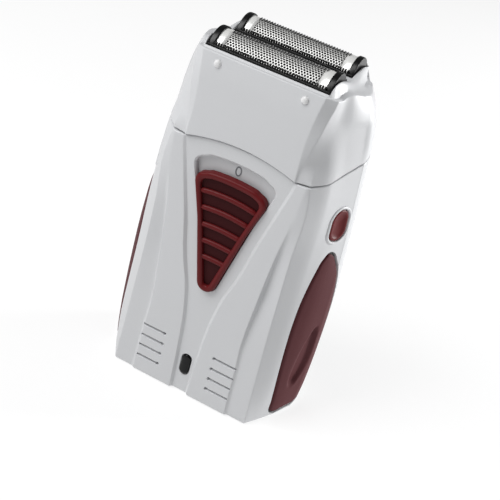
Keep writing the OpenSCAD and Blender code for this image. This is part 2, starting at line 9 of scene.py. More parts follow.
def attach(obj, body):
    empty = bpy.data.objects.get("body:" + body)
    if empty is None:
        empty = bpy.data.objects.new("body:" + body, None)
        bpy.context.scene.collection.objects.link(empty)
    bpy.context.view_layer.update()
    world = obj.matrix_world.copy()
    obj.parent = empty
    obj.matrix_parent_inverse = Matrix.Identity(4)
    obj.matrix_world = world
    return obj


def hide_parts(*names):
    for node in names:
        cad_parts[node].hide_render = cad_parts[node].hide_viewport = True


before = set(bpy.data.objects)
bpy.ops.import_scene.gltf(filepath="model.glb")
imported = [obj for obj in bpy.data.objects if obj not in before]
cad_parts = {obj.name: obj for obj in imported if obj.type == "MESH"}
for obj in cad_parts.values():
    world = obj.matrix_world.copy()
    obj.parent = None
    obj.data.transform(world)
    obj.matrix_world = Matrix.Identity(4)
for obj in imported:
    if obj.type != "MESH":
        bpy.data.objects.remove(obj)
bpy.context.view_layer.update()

# Lengths are in millimetres: x to the right, y from the front to the back, z up from the base.
MM = 0.001
HALF_DEPTH = 18.5
FACE = -HALF_DEPTH      # the plane of the front's highest surface
SPLIT = 0.1             # half the gap between the two shells
SIDE_D = 11             # how far behind the front plane side_x is measured


# ---- Small maths ----

def hermite(t, h, start, end, slope_start, slope_end):
    """A cubic over a span h long, at the fraction t."""
    return ((2 * t**3 - 3 * t**2 + 1) * start + (t**3 - 2 * t**2 + t) * h * slope_start
            + (3 * t**2 - 2 * t**3) * end + (t**3 - t**2) * h * slope_end)


def table(*pairs):
    """A smooth curve through (position, value) pairs."""
    xs = np.array([p[0] for p in pairs], float)
    ys = np.array([p[1] for p in pairs], float)
    slopes = np.gradient(ys, xs)

    def value(x):
        x = float(min(max(x, xs[0]), xs[-1]))
        i = min(int(np.searchsorted(xs, x, side="right")) - 1, len(xs) - 2)
        h = xs[i + 1] - xs[i]
        return hermite((x - xs[i]) / h, h, ys[i], ys[i + 1], slopes[i], slopes[i + 1])
    return value


def straight(*pairs):
    """Straight lines through (position, value) pairs."""
    xs, ys = zip(*pairs)
    return lambda v: float(np.interp(v, xs, ys))


def ease(t):
    """A smooth step from 0 to 1."""
    t = min(max(t, 0.0), 1.0)
    return t * t * (3 - 2 * t)


def through(points, per):
    """Points on a smooth curve through control points, `per` steps to each span."""
    pts = np.array(points, float)
    chord = np.r_[0, np.cumsum(np.maximum(np.linalg.norm(np.diff(pts, axis=0), axis=1), 1e-6))]
    tang = np.array([np.gradient(pts[:, k], chord) for k in range(pts.shape[1])]).T
    out = [hermite(s / per, chord[i + 1] - chord[i], pts[i], pts[i + 1], tang[i], tang[i + 1])
           for i in range(len(pts) - 1) for s in range(per)]
    return out + [pts[-1]]


def evenly(points, n):
    """n evenly spaced points round a closed line."""
    loop = np.array([*points, points[0]])
    dist = np.r_[0, np.cumsum(np.linalg.norm(np.diff(loop, axis=0), axis=1))]
    at = np.linspace(0, dist[-1], n, endpoint=False)
    return [(float(np.interp(a, dist, loop[:, 0])), float(np.interp(a, dist, loop[:, 1]))) for a in at]


def turn(n):
    """Cosine and sine at n even steps of a full turn."""
    return [(math.cos(2 * math.pi * k / n), math.sin(2 * math.pi * k / n)) for k in range(n)]


def arc(cx, cz, r, start, sweep, steps):
    """Points on an arc. Angles are in degrees."""
    angles = [math.radians(start + sweep * k / steps) for k in range(steps + 1)]
    return [(cx + r * math.cos(a), cz + r * math.sin(a)) for a in angles]


# ---- Outline of the housing, as half sections at a height ----

# Against height: _x is a distance from the middle plane, _d and _in are depths behind the front
# plane, or before the back plane for back_in.
chamfer_x = table((0, 24.4), (15, 23.8), (44, 22.8), (63, 22.5), (80, 22.8), (88, 21.6), (95, 20.4))
shoulder_x = table((0, 26.9), (15, 27.5), (30, 27.2), (50, 26.5), (66, 26.3), (80, 26.2), (88, 25.4),
                   (94, 23.9), (101, 22.9), (107, 22.2), (113.5, 21.7))
shoulder_d = straight((0, 5), (94, 5), (101, 5.6), (113.5, 8.2))
side_x = table((0, 30), (15, 30.7), (30, 30.7), (48, 30.3), (60, 29.6), (75, 28.7), (87, 27.6),
               (101, 25.6), (107, 24.6), (113.5, 22.9))
widest_x = table((0, 33), (12, 33.6), (30, 33.7), (45, 33.4), (60, 32.6), (75, 31.5), (88, 30.3),
                 (98, 29.3), (106, 27.7), (110, 26.2), (113.5, 24.2))
back_side_x = table((0, 32.6), (12, 33.3), (30, 33.5), (48, 33), (60, 32), (75, 30.8), (87, 29.6),
                    (97, 28.7), (104, 27.1), (109, 25), (113.5, 22))
back_shoulder_x = table((0, 26.6), (60, 26.8), (87, 25.3), (97, 24.3), (113.5, 21))
back_in = table((0, 1.6), (20, .3), (50, 0), (78, .8), (98, .3), (113.5, 1))
front_in = table((0, 0), (102, 0), (108, .3), (113.5, 1.2))
panel_x = table((0, 2.3), (17, 3), (31.5, 4.1), (41, 5.8), (50, 8.5), (64, 11.5), (76, 14.5),
                (88, 17.2), (92, 17.6))
panel_in = straight((0, .9), (60, .9), (88, .4))
ridge_x = table((0, 17.2), (10, 16.7), (20, 16.4), (27, 16), (36, 16.2), (45, 16.8), (55, 17.5),
                (63, 18.2), (71, 19.2), (88, 20.2))
ridge_drop = straight((0, .6), (25, .75), (36, 1.25), (50, 1.75), (62, 1.2), (71, .3), (76, 0))
edge_x = table((80, 17.2), (88, 17.2), (98, 16.8), (108, 17.6), (113.5, 18.5))
facet_x = table((80, 17.6), (88, 17.6), (92, 17.9), (97.2, 18.7), (102.9, 19.9), (107.4, 20.6),
                (110.4, 21.1), (113.5, 21.2))
facet_d = straight((80, .1), (88, .1), (92, .3), (97.2, .6), (102.9, 1.2), (107.4, 2.2),
                   (110.4, 3.4), (113.5, 4.4))

# Against y: how far the seam climbs toward the back, and the top of the scoop in the head's sides.
climb = table((-18.5, 0), (-12, 1.4), (-6, 3), (0, 4.7), (8, 6.4), (18.5, 7.6))
scoop_top = table((-18.5, 101.5), (-18, 102.2), (-16.7, 104), (-13.8, 104.8), (-11.2, 105.3),
                  (-7.4, 105.2), (-3.1, 104.8), (4.5, 103), (12, 100.5))

SEAM_CORNER_Z = 87.2
SEAM_CROWN_Z, SEAM_FALL, SEAM_HALF = 90.0, 2.75, 17.2


def seam_z(x, y):
    """Height of the seam between head and body. It arches over the front panel."""
    side = SEAM_CORNER_Z + climb(y)
    if y < -14 and abs(x) <= 18.4:
        return max(SEAM_CROWN_Z - SEAM_FALL * (x / SEAM_HALF) ** 2, side)
    return side


def soften(knots, radii, steps):
    """A line through knots with each inner knot rounded, `steps` points along each straight."""
    out = [np.array(knots[0], float)]
    for i in range(len(knots) - 1):
        a, b = np.array(knots[i], float), np.array(knots[i + 1], float)
        length = max(np.linalg.norm(b - a), 1e-6)
        ra = min(radii[i], length * .42)
        rb = min(radii[i + 1], length * .42)
        start = a + (b - a) * ra / length
        end = b - (b - a) * rb / length
        if i:
            out.append(start)
        for s in range(1, steps[i]):
            out.append(start + (end - start) * s / steps[i])
        out.append(end)
        if i < len(knots) - 2:
            nxt = np.array(knots[i + 2], float) - b
            r2 = min(radii[i + 1], np.linalg.norm(nxt) * .42)
            start2 = b + nxt / max(np.linalg.norm(nxt), 1e-6) * r2
            out.append((end + 2 * b + start2) / 4)
    return out


def body_front(z):
    """Half section of the body from the front's middle to the widest line."""
    drop = ridge_drop(z)
    panel = panel_x(z)
    ridge = max(ridge_x(z), panel + 1.7)
    chamfer = max(chamfer_x(z), ridge + 1.4)
    knots = [(0, panel_in(z)), (panel, panel_in(z)), (panel + .85, 0), (ridge, 0),
             (ridge + .75, drop + .02), (chamfer, .5 + .2 * drop), (shoulder_x(z), shoulder_d(z))]
    line = soften(knots, [0, .12, .16, .2, .4, .28, .4], [4, 2, 8, 2, 5, 4])
    side = through([knots[-1], (side_x(z), SIDE_D), (widest_x(z), HALF_DEPTH)], 10)
    meeting = line[-1] * .5 + side[1] * .5
    return [(q[0], q[1] - HALF_DEPTH) for q in line[:-1] + [meeting] + side[2:]]


def body_back(z):
    """Half section of the body from the widest line to the back's middle."""
    back = 2 * HALF_DEPTH - back_in(z)
    s = back_shoulder_x(z)
    pts = through([(side_x(z) * .4 + widest_x(z) * .6, 14.5), (widest_x(z), HALF_DEPTH),
                   (back_side_x(z), 26), (s, back - 4.6), (s - 2.6, back - 1.1),
                   (s - 7.4, back - .1), (s - 14, back), (0, back)], 7)[7:]
    return [(q[0], q[1] - HALF_DEPTH) for q in pts]


def head_half(z):
    """Half section of the head from the front's middle to the back's middle."""
    front, edge, facet = front_in(z), edge_x(z), facet_x(z)
    deep = max(facet_d(z), front + .1)
    shoulder = np.array((max(shoulder_x(z), facet + .45), max(shoulder_d(z), deep + 1.3)))
    at_seam = np.array((chamfer_x(z), .8))
    at_top = np.array((facet, deep)) * .55 + shoulder * .45
    w = ease((z - 89) / 6)
    line = soften([(0, front), (edge, front), (facet, deep), tuple(at_seam * (1 - w) + at_top * w)],
                  [0, .3, .3, 0], [10, 3, 2])
    side = through([tuple(line[-1]), tuple(shoulder), (side_x(z), SIDE_D), (widest_x(z), HALF_DEPTH)], 8)
    out = []
    for x, d in line[:-1] + side[:-1]:
        y = d - HALF_DEPTH
        if x > 19:
            up, out_x, fore = ease((z - 90) / 10), ease((x - 20.5) / 5), ease((6 - y) / 9)
            x -= .32 * ease((scoop_top(y) - z) / 1.3) * up * out_x * fore
        out.append((x, y))
    return out + body_back(z)


def mirrored(half):
    """A closed or open section over both sides from a right half that starts at the middle of the front."""
    return [(-x, y) for x, y in reversed(half[1:])] + list(half)


def inward(section, closed):
    """Unit vectors pointing into the housing, one for each point of a section."""
    p = np.array(section, float)
    nxt = np.roll(p, -1, axis=0)
    prv = np.roll(p, 1, axis=0)
    if not closed:
        nxt[-1] = p[-1]
        prv[0] = p[0]
    t = nxt - prv
    t /= np.maximum(np.linalg.norm(t, axis=1), 1e-9)[:, None]
    n = np.stack([-t[:, 1], t[:, 0]], 1)
    if not closed:
        # the ends lie on the split between the shells, so they move straight in
        for end in (0, -1):
            n[end] = (np.sign(n[end][0]), 0)
    return n


# ---- Mesh helpers ----

def mesh_object(name, verts, faces):
    """An object in the scene from points in millimetres, with its faces turned outward."""
    me = bpy.data.meshes.new(name)
    me.from_pydata([tuple(float(c) * MM for c in v) for v in verts], [], faces)
    bm = bmesh.new()
    bm.from_mesh(me)
    bmesh.ops.remove_doubles(bm, verts=bm.verts, dist=2e-6)
    bmesh.ops.dissolve_degenerate(bm, edges=bm.edges, dist=1e-7)
    bmesh.ops.recalc_face_normals(bm, faces=bm.faces)
    bm.to_mesh(me)
    bm.free()
    ob = bpy.data.objects.new(name, me)
    bpy.context.scene.collection.objects.link(ob)
    return ob


def shade(ob, angle=32, weighted=True):
    """Smooth shading that stays sharp at edges over an angle in degrees."""
    me = ob.data
    for p in me.polygons:
        p.use_smooth = True
    me.set_sharp_from_angle(angle=math.radians(angle))
    if weighted:
        mod = ob.modifiers.new("normals", "WEIGHTED_NORMAL")
        mod.keep_sharp = True
        mod.weight = 60


def bake(ob):
    """Applies the modifiers of a piece."""
    graph = bpy.context.evaluated_depsgraph_get()
    me = bpy.data.meshes.new_from_object(ob.evaluated_get(graph), depsgraph=graph)
    ob.modifiers.clear()
    ob.data = me


def cut(ob, cutters):
    """Takes the cutters away from a piece and removes them from the scene."""
    for c in cutters:
        mod = ob.modifiers.new("cut", "BOOLEAN")
        mod.operation = "DIFFERENCE"
        mod.solver = "EXACT"
        mod.object = c
    bpy.context.view_layer.update()
    bake(ob)
    bm = bmesh.new()
    bm.from_mesh(ob.data)
    bmesh.ops.remove_doubles(bm, verts=bm.verts, dist=3e-6)
    bmesh.ops.dissolve_degenerate(bm, edges=bm.edges, dist=1e-6)
    bm.to_mesh(ob.data)
    bm.free()
    drop(cutters)


def drop(objects):
    for o in objects:
        bpy.data.objects.remove(o, do_unlink=True)


def quads(rows, cols, closed=True):
    """Faces over a grid of points. A closed grid joins the two ends of each row."""
    return [(j * cols + k, j * cols + (k + 1) % cols, (j + 1) * cols + (k + 1) % cols, (j + 1) * cols + k)
            for j in range(rows - 1) for k in range(cols if closed else cols - 1)]


def loft(name, rings, cap_first=True, cap_last=True):
    """A solid through closed rings that all have the same number of points."""
    n = len(rings[0])
    faces = quads(len(rings), n)
    if cap_first:
        faces.append(tuple(range(n - 1, -1, -1)))
    if cap_last:
        faces.append(tuple((len(rings) - 1) * n + k for k in range(n)))
    return mesh_object(name, [p for r in rings for p in r], faces)


def join(name, parts):
    """One mesh from several, each keeping its materials."""
    bm = bmesh.new()
    mats = []
    for o in parts:
        off = len(mats)
        mats += [s.material for s in o.material_slots] or [None]
        tmp = bmesh.new()
        tmp.from_mesh(o.data)
        for f in tmp.faces:
            f.material_index += off
        me = bpy.data.meshes.new("part")
        tmp.to_mesh(me)
        tmp.free()
        bm.from_mesh(me)
        bpy.data.meshes.remove(me)
    me = bpy.data.meshes.new(name)
    bm.to_mesh(me)
    bm.free()
    for m in mats:
        me.materials.append(m)
    drop(parts)
    ob = bpy.data.objects.new(name, me)
    bpy.context.scene.collection.objects.link(ob)
    return ob


# ---- Materials ----

def linear(rgb):
    """A colour given as 0 to 255 sRGB, in the shader's linear numbers."""
    return [c / 255 / 12.92 if c / 255 <= .04045 else ((c / 255 + .055) / 1.055) ** 2.4 for c in rgb]


def finish(name, rgb, rough, metal=0.0, vary=.05, rough_vary=.08, bump=.15, scale=900, coat=0.0, specular=.5):
    """A moulded or metal surface: slow colour variation, fine roughness variation and fine grain."""
    m = bpy.data.materials.new(name)
    m.use_nodes = True
    nt = m.node_tree
    shader = nt.nodes["Principled BSDF"]
    place = nt.nodes.new("ShaderNodeTexCoord")

    def noise(size, detail):
        node = nt.nodes.new("ShaderNodeTexNoise")
        node.inputs["Scale"].default_value = size
        node.inputs["Detail"].default_value = detail
        nt.links.new(place.outputs["Object"], node.inputs["Vector"])
        return node.outputs["Fac"]

    clouds, grain = noise(45, 4), noise(scale, 3)
    tint = nt.nodes.new("ShaderNodeMix")
    tint.data_type = "RGBA"
    base = linear(rgb)
    tint.inputs["A"].default_value = (*[c * (1 - vary) for c in base], 1)
    tint.inputs["B"].default_value = (*[min(c * (1 + vary), 1) for c in base], 1)
    nt.links.new(clouds, tint.inputs["Factor"])
    nt.links.new(tint.outputs["Result"], shader.inputs["Base Color"])
    spread = nt.nodes.new("ShaderNodeMapRange")
    spread.inputs["To Min"].default_value = max(rough - rough_vary, .02)
    spread.inputs["To Max"].default_value = min(rough + rough_vary, 1)
    nt.links.new(grain, spread.inputs["Value"])
    nt.links.new(spread.outputs["Result"], shader.inputs["Roughness"])
    relief = nt.nodes.new("ShaderNodeBump")
    relief.inputs["Strength"].default_value = bump
    relief.inputs["Distance"].default_value = .00004
    nt.links.new(grain, relief.inputs["Height"])
    nt.links.new(relief.outputs["Normal"], shader.inputs["Normal"])
    shader.inputs["Metallic"].default_value = metal
    shader.inputs["Coat Weight"].default_value = coat
    shader.inputs["Coat Roughness"].default_value = .12
    shader.inputs["Specular IOR Level"].default_value = specular
    return m


SHELL = finish("shell_grey_look", (203, 204, 206), .42, vary=.015, bump=.25, scale=2600, specular=.45)
INSIDE = finish("shell_inside_look", (150, 152, 155), .6, vary=.03)
RED = finish("burgundy_look", (94, 23, 25), .36, vary=.05, bump=.15, scale=2200, specular=.14)
# the slider's own burgundy darkened: painted shade for its recessed floor between the ribs
RED_SHADED = finish("burgundy_floor_painted_shade_look", (56, 18, 20), .55, vary=.05, bump=.2, scale=2600, specular=.08)
RUBBER = finish("grip_rubber_look", (84, 38, 42), .7, vary=.04, bump=.5, scale=3800, specular=.22)
BLACK = finish("black_plastic_look", (11, 11, 12), .3, vary=.1, bump=.15, scale=2400, specular=.3)
GLOSS = finish("black_gloss_look", (5, 5, 6), .12, vary=.1, bump=.02, specular=.22)
WHITE = finish("white_plastic_look", (226, 226, 224), .4, vary=.02, bump=.15)
STEEL = finish("steel_look", (190, 190, 188), .28, metal=1, vary=.06, bump=.2, scale=1500)
FOIL = finish("foil_steel_look", (212, 212, 210), .42, metal=.55, vary=.05, bump=.1, scale=1800)
# the plain ends of the foils: the foil's own unperforated steel, drawn whiter and less metallic as a painted
# sheen
MARGIN_SHEEN_STEEL = finish("foil_margin_look", (238, 238, 236), .3, metal=.2, vary=.03, bump=.05, scale=1800)
BLADE = finish("cutter_steel_look", (44, 44, 46), .4, metal=.6, vary=.1, bump=.1, scale=1500)
BRASS = finish("brass_look", (196, 160, 84), .3, metal=1, vary=.06)
WRAP = finish("cell_wrap_look", (52, 92, 74), .38, vary=.06, coat=.3)
BOARD = finish("board_green_look", (28, 84, 52), .45, vary=.12, bump=.4, scale=700)
RED_LEAD = finish("red_lead_look", (150, 30, 28), .45)
BLACK_LEAD = finish("black_lead_look", (20, 20, 20), .5)
SEAL = finish("seal_rubber_look", (38, 38, 40), .75, bump=.4)
LED = finish("led_look", (210, 226, 214), .2, coat=.5)
MARK = finish("mark_look", (112, 114, 118), .55, vary=.05)
# lighter than the shell: painted highlight for the glint on the head's domed studs, which are the shell's grey
# plastic
STUD_GLINT = finish("stud_painted_highlight_look", (222, 222, 222), .4, vary=.02)

BY_SLOT = {"shell_grey": SHELL, "burgundy": RED, "grip_rubber": RUBBER, "black_plastic": BLACK,
           "black_gloss": GLOSS, "white_plastic": WHITE, "steel": STEEL, "foil_steel": FOIL,
           "brass": BRASS, "cell_wrap": WRAP, "board_green": BOARD, "red_lead": RED_LEAD,
           "black_lead": BLACK_LEAD, "seal_rubber": SEAL, "led_body": LED}

for node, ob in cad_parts.items():
    named = ob.data.materials[0].name.split(".")[0] if ob.data.materials and ob.data.materials[0] else ""
    look = BY_SLOT.get(named, INSIDE)
    if "cutter_blades" in node:
        look = BLADE
    ob.data.materials.clear()
    ob.data.materials.append(look)


def dress(ob, *mats):
    """Gives a piece its materials in place of any that it has."""
    ob.data.materials.clear()
    for m in mats:
        ob.data.materials.append(m)


# ---- Housing skins ----

WALL = 2.2              # thickness of the shells
BASE_WALL = 2.0
BASE_ROUND = 1.4        # radius of the edge round the base
LIP_ROUND = .45         # radius of the edge at the seam
LEVEL_FROM, LEVEL_TO, LEVEL_STEP = 2.4, 81, 1.15
LEANING_ROWS = 8


def shell_rows():
    """Rows of a shell from the base up, as (height where the seam is at `top`, inset)."""
    rows = []
    for k in range(5):
        a = math.pi / 2 * k / 4
        rows.append((lambda top, z=BASE_ROUND * (1 - math.cos(a)): z, BASE_ROUND * (1 - math.sin(a))))
    z = LEVEL_FROM
    while z < LEVEL_TO:
        rows.append((lambda top, z=z: z, 0.0))
        z += LEVEL_STEP
    for k in range(1, LEANING_ROWS + 1):
        rows.append((lambda top, k=k: LEVEL_TO + (top - LIP_ROUND - LEVEL_TO) * k / LEANING_ROWS, 0.0))
    for a in (30, 60, 90):
        q = math.radians(a)
        rows.append((lambda top, q=q: top - LIP_ROUND + LIP_ROUND * math.sin(q), LIP_ROUND * (1 - math.cos(q))))
    return rows


def shell(name, half_of, front):
    """One half of the body as a closed shell, open at the seam to the head."""
    tops = [seam_z(x, y) for x, y in mirrored(half_of(88))]
    cols = len(tops)
    split, sign, beyond = (-SPLIT, 1, min) if front else (SPLIT, -1, max)
    cache = {}

    def section(z):
        key = round(z, 4)
        if key not in cache:
            s = mirrored(half_of(z))
            cache[key] = (s, inward(s, False))
        return cache[key]

    def place(i, z, inset):
        s, n = section(z)
        return (s[i][0] + sign * n[i][0] * inset, beyond(s[i][1] + sign * n[i][1] * inset, split), z)

    outer, inner = [], []
    for height, inset in shell_rows():
        outer.append([place(i, height(tops[i]), inset) for i in range(cols)])
        inner.append([place(i, max(height(tops[i]), BASE_WALL), inset + WALL) for i in range(cols)])
    for row in inner:
        for i, (x, y, z) in enumerate(row):
            # the front's inner side ignores the shallow relief outside
            row[i] = (x, max(y, FACE + 3.1) if front else y, min(z, tops[i]))
    outer.insert(0, [(x, split, 0.0) for x, y, z in outer[0]])
    inner.insert(0, [(x, split, BASE_WALL) for x, y, z in inner[0]])

    off = len(outer) * cols
    top = (len(outer) - 1) * cols
    faces = []
    for a, b, c, d in quads(len(outer), cols, closed=False):
        faces += [(a, b, c, d), (off + d, off + c, off + b, off + a)]
    for i in range(cols - 1):
        faces.append((top + i, top + i + 1, off + top + i + 1, off + top + i))
        faces.append((i + 1, i, off + i, off + i + 1))
    for a in range(0, top, cols):
        b = a + cols
        faces.append((a, b, off + b, off + a))
        faces.append((b + cols - 1, b - 1, off + b - 1, off + b + cols - 1))
    return mesh_object(name, [p for grid in (outer, inner) for row in grid for p in row], faces)


front_skin = shell("front_skin", body_front, True)
back_skin = shell("back_skin", lambda z: list(reversed(body_back(z))), False)


# ---- Side features: shapes drawn in (y, z) and laid on the side of the body ----

def side_surface(y, z):
    """Half width of the body at a depth and height."""
    if y <= 0:
        knots = [(shoulder_x(z), shoulder_d(z)), (side_x(z), SIDE_D), (widest_x(z), HALF_DEPTH)]
        pts = [(q[0], q[1] - HALF_DEPTH) for q in through(knots, 10)]
    else:
        pts = body_back(z)[:20]
    return float(np.interp(y, [p[1] for p in pts], [p[0] for p in pts]))


def on_side(side, y, z, h):
    """A point h outside the right (side 1) or left (side -1) surface of the body."""
    return (side * (side_surface(y, z) + h), y, z)


def side_loft(name, side, rings, *caps):
    """A solid through rings given as ((y, z) loop, height above the side)."""
    return loft(name, [[on_side(side, y, z, h) for y, z in loop] for loop, h in rings], *caps)


def smooth_loop(points, n):
    """n evenly spaced points on a smooth closed curve through points."""
    pts = [np.array(p, float) for p in points]
    dense = through(pts[-2:] + pts + pts[:2], 12)[24:-24]
    return evenly(dense[:len(pts) * 12], n)


def grow(loop, g):
    """A closed loop pushed outward by g."""
    p = np.array(loop, float)
    t = np.roll(p, -1, axis=0) - np.roll(p, 1, axis=0)
    t /= np.maximum(np.linalg.norm(t, axis=1), 1e-9)[:, None]
    n = np.stack([t[:, 1], -t[:, 0]], 1)
    area = .5 * np.sum(p[:, 0] * np.roll(p[:, 1], -1) - np.roll(p[:, 0], -1) * p[:, 1])
    return [tuple(q) for q in p + n * g * (1 if area > 0 else -1)]


GRIP = smooth_loop([(0, 2.3), (-5, 2.1), (-8.6, 2.2), (-9.3, 3), (-10.1, 8), (-11, 16), (-11.6, 29),
                    (-11.5, 40), (-10.6, 50), (-8.9, 58), (-7.4, 62.2), (-5.6, 64), (-3.7, 63.2),
                    (-1.6, 60), (1.9, 52), (4, 41), (5, 30), (5.2, 14), (4.9, 5), (4, 2.6)], 220)
GRIP_SPINE = straight((9, -2.6), (16, -2.9), (30, -3.3), (45, -3.8), (52, -4.4), (58, -5.3))
SPINE_LOW, SPINE_HIGH = 9, 57
# how high the grip stands at each fraction of the way from its edge to its spine
GRIP_PROFILE = [(0, -.95), (0, -.4), (.015, -.1), (.04, .06), (.07, .12), (.12, .16), (.18, .2),
                (.24, .23), (.3, .26), (.36, .29), (.42, .31), (.48, .33), (.54, .35), (.6, .36),
                (.66, .37), (.72, .38), (.78, .39), (.84, .4), (.9, .4), (.95, .4)]
GRIP_TOP = .4
DIMPLE_LOW, DIMPLE_LENGTH, DIMPLE_DEPTH = 11.5, 25.5, 1.15


def toward_spine(loop, f):
    """The grip's loop drawn in toward its spine by the fraction f."""
    out = []
    for y, z in loop:
        zc = min(max(z, SPINE_LOW), SPINE_HIGH)
        out.append((y + (GRIP_SPINE(zc) - y) * f, z + (zc - z) * f))
    return out


def dimple(y, z):
    """How deep the thumb dimple is at a place on the grip."""
    v = (z - DIMPLE_LOW) / DIMPLE_LENGTH
    if v <= 0 or v >= 1:
        return 0.0
    middle = -5.4 + 3.2 * v
    half = 3.5 * math.sin(math.pi * v ** .85) ** .7
    u = (y - middle) / max(half, .05)
    if abs(u) >= 1:
        return 0.0
    return DIMPLE_DEPTH * ease((1 - abs(u)) * (2.6 if u > 0 else 1.3)) * ease(min(v, 1 - v) * 7)


def grip(side):
    """The rubber pad on one side, closed at its back and drawn together along its spine."""
    loop = grow(GRIP, -.3)
    n = len(loop)
    verts = []
    for f, h in [*GRIP_PROFILE, (1, GRIP_TOP)]:
        verts += [on_side(side, y, z, h - dimple(y, z)) for y, z in toward_spine(loop, f)]
    faces = quads(len(GRIP_PROFILE) + 1, n)
    faces.append(tuple(range(n - 1, -1, -1)))
    return mesh_object("grip_skin_" + ("right" if side > 0 else "left"), verts, faces)


def grip_recess(side):
    return side_loft("cutter", side, [(grow(GRIP, .55), h) for h in (-1.0, 0, 3.0)])


def slot_loop(cx, cz, width, length, n=64):
    """An upright slot with round ends."""
    half = (length - width) / 2
    return [(cx + width / 2 * c, cz + width / 2 * s + (half if s > 0 else -half)) for c, s in turn(n)]


BUTTON_Y, BUTTON_Z = -4.8, 73.3
BUTTON = slot_loop(BUTTON_Y, BUTTON_Z, 7.2, 10.4)
BUTTON_ROOT_X = 22.8    # where the cap meets its flange, inside the body
LATCH_Y = (-8, -5)


def button(side):
    """A release button: the dished cap, its flange, and the latch arm with its hook."""
    cap = [[(side * BUTTON_ROOT_X, y, z) for y, z in grow(BUTTON, -.15)]]
    for g, h in ((-.15, -1.6), (-.15, -.1), (-.25, .08), (-.5, .2), (-.85, .2), (-1.15, .05), (-1.5, -.15)):
        cap.append([on_side(side, y, z, h) for y, z in grow(BUTTON, g)])
    for f, h in ((.8, -.3), (.6, -.42), (.4, -.5), (.2, -.55), (.06, -.56)):
        cap.append([on_side(side, BUTTON_Y + (y - BUTTON_Y) * f, BUTTON_Z + (z - BUTTON_Z) * f, h)
                    for y, z in grow(BUTTON, -1.5)])
    flange = [[(side * x, y, z) for y, z in grow(BUTTON, g)]
              for x, g in ((22.6, .7), (22.7, .9), (23.7, .9), (23.8, .7))]
    flange = loft("flange", flange)
    parts = [loft("cap", cap), flange]
    for low, high, z in ((20.9, 22.7, (77, 80)), (20.9, 22.4, (77, 89.5)), (21.9, 23.5, (87.6, 89.5))):
        parts.append(rounded_box("latch", sorted((side * low, side * high)), LATCH_Y, z, .2))
    for part in parts:
        dress(part, RED)
    return join("button_skin_" + ("right" if side > 0 else "left"), parts)


def button_ring(side):
    """The oval collar that the release button sits in."""
    rings = [(grow(BUTTON, g), h) for g, h in ((.12, -1.2), (.12, .1), (.3, .3), (.62, .34), (.95, .2),
                                               (1.15, -.12), (1.15, -1.2))]
    name = "button_collar_" + ("right" if side > 0 else "left")
    return side_loft(name, side, [*rings, rings[0]], False, False)


# ---- Front features: shapes drawn in (x, z) ----

SWITCH_TOP_Z, SWITCH_TOP_HALF = 83.4, 12.6
SWITCH_TIP_Z, SWITCH_TIP_R = 44.4, 3.3
SWITCH_CROWN_R = 52.0
SWITCH_CORNER_R = 3.0


def switch_loop(g, drop_top=0.0):
    """The wedge outline of the switch grown by g, its top lowered by drop_top."""
    lean = (SWITCH_TOP_HALF - SWITCH_TIP_R) / (SWITCH_TOP_Z - SWITCH_TIP_Z)
    half = SWITCH_TOP_HALF - lean * drop_top + g
    r = SWITCH_CORNER_R + max(g, -2.0) * .5

    def crown(x):
        return SWITCH_TOP_Z - drop_top + g + 1.4 - (SWITCH_CROWN_R - math.sqrt(SWITCH_CROWN_R ** 2 - x ** 2))

    corner_z = crown(half)
    inner = half - r
    pts = arc(0, SWITCH_TIP_Z, SWITCH_TIP_R + g, 192, 156, 24)
    pts.append((half - lean * 14, corner_z - 14))
    pts += arc(inner, corner_z - r, r, -10, 92, 8)
    pts += [(inner * (1 - 2 * k / 14), crown(inner * (1 - 2 * k / 14))) for k in range(1, 14)]
    pts += arc(-inner, corner_z - r, r, 98, 92, 8)
    pts.append((-half + lean * 14, corner_z - 14))
    return evenly(pts, 180)


def front_loft(name, rings, *caps):
    """A solid through rings given as ((x, z) loop, depth behind the front plane)."""
    return loft(name, [[(x, FACE + d, z) for x, z in loop] for loop, d in rings], *caps)


def rod(axis, at, r, low, high):
    """A cutter for a round hole along y or z."""
    rings = []
    for h in (low, high):
        if axis == "z":
            rings.append([(at[0] + r * c, at[1] + r * s, h) for c, s in turn(48)])
        else:
            rings.append([(at[0] + r * c, h, at[1] + r * s) for c, s in turn(48)])
    return loft("cutter", rings)


LENS_Z = 11.4
GROOVES_Z = (6.9, 11.1, 15.2, 19.4)
GROOVE_OUT_X, GROOVE_IN_X = 16.8, 9.1
SCREW_X, SCREWS_Z = 20, (15, 62)
SCREW_HEAD, SCREW_HOLE = (2.3, 14, 22), (1.1, 5, 16)    # radius, then from y to y
INLET = ("z", (0, 2), 4.15, -1, 5)


def groove_loop(side, z, width):
    """A groove open at the panel's outer edge, with a round bulb at its inner end."""
    half = width / 2
    bulb = half + .22
    start = math.degrees(math.asin(half / bulb))
    pts = [(GROOVE_OUT_X, z - half), (GROOVE_OUT_X, z + half)]
    pts += arc(GROOVE_IN_X, z, bulb, start, 360 - 2 * start, 16)
    return [(side * x, zz) for x, zz in pts]


cutters = [front_loft("cutter", [(switch_loop(g), d) for g, d in ((0, 2.3), (0, 1.3), (.12, .95), (.45, .62),
                                                                  (1.2, .1), (3.2, -1.2))]),
           front_loft("cutter", [(slot_loop(0, LENS_Z, w, w + 4.6, 48), d)
                                 for w, d in ((3.5, 1.9), (3.5, 1.1), (4.3, .6), (6, -.4))])]
for z in GROOVES_Z:
    for s in (-1, 1):
        cutters.append(front_loft("cutter", [(groove_loop(s, z, w), d)
                                             for w, d in ((.6, 1.2), (.72, .25), (1.05, -.05), (1.9, -.5))]))
for s in (-1, 1):
    cutters.append(grip_recess(s))
    cutters.append(side_loft("cutter", s, [(grow(BUTTON, 1.1), h) for h in (-6.5, 0, 3.0)]))
cut(front_skin, cutters)

